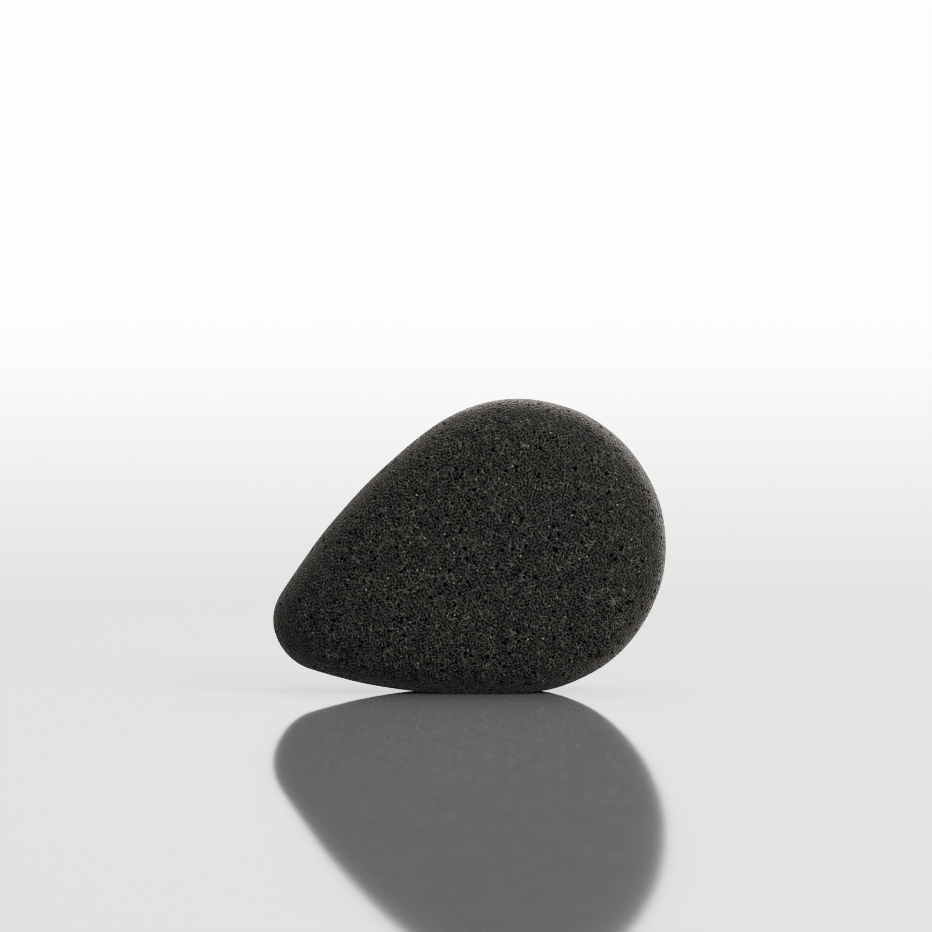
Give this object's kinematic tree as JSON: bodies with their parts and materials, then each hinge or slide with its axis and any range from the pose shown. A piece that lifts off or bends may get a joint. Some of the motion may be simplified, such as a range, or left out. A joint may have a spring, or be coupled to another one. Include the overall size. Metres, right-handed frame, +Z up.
{
  "type": "konjac sponge",
  "caption": "Drop-shaped charcoal facial sponge of open-cell konjac foam, standing on its edge; its two crowned faces press in when it is squeezed.",
  "frame": {"origin": "middle of the bounding box, on the surface that the sponge stands on", "axes": "+Z up, +X along the sponge from its tip side to its round end, +Y through its thickness, from the front face to the back face"},
  "size_m": [0.0802, 0.026, 0.0599],
  "materials": {
    "foam_skin": "matte charcoal open-cell foam",
    "foam_core": "matte charcoal open-cell foam"
  },
  "bodies": {
    "sponge_body": {"rim_skin": "foam_skin", "open_cell_core": "foam_core"},
    "front_press": {"front_face_skin": "foam_skin"},
    "back_press": {"back_face_skin": "foam_skin"}
  },
  "joints": [
    {"name": "front_squeeze", "type": "slide", "parent": "sponge_body", "child": "front_press", "axis": [0, 1, 0], "range_m": [0, 0.006], "stiffness_N_per_m": 400, "deforming": ["open_cell_core"]},
    {"name": "back_squeeze", "type": "slide", "parent": "sponge_body", "child": "back_press", "axis": [0, -1, 0], "range_m": [0, 0.006], "stiffness_N_per_m": 400, "deforming": ["open_cell_core"]}
  ],
  "couplings": [
    {"joint": "back_squeeze", "follows": "front_squeeze", "ratio": 1}
  ]
}
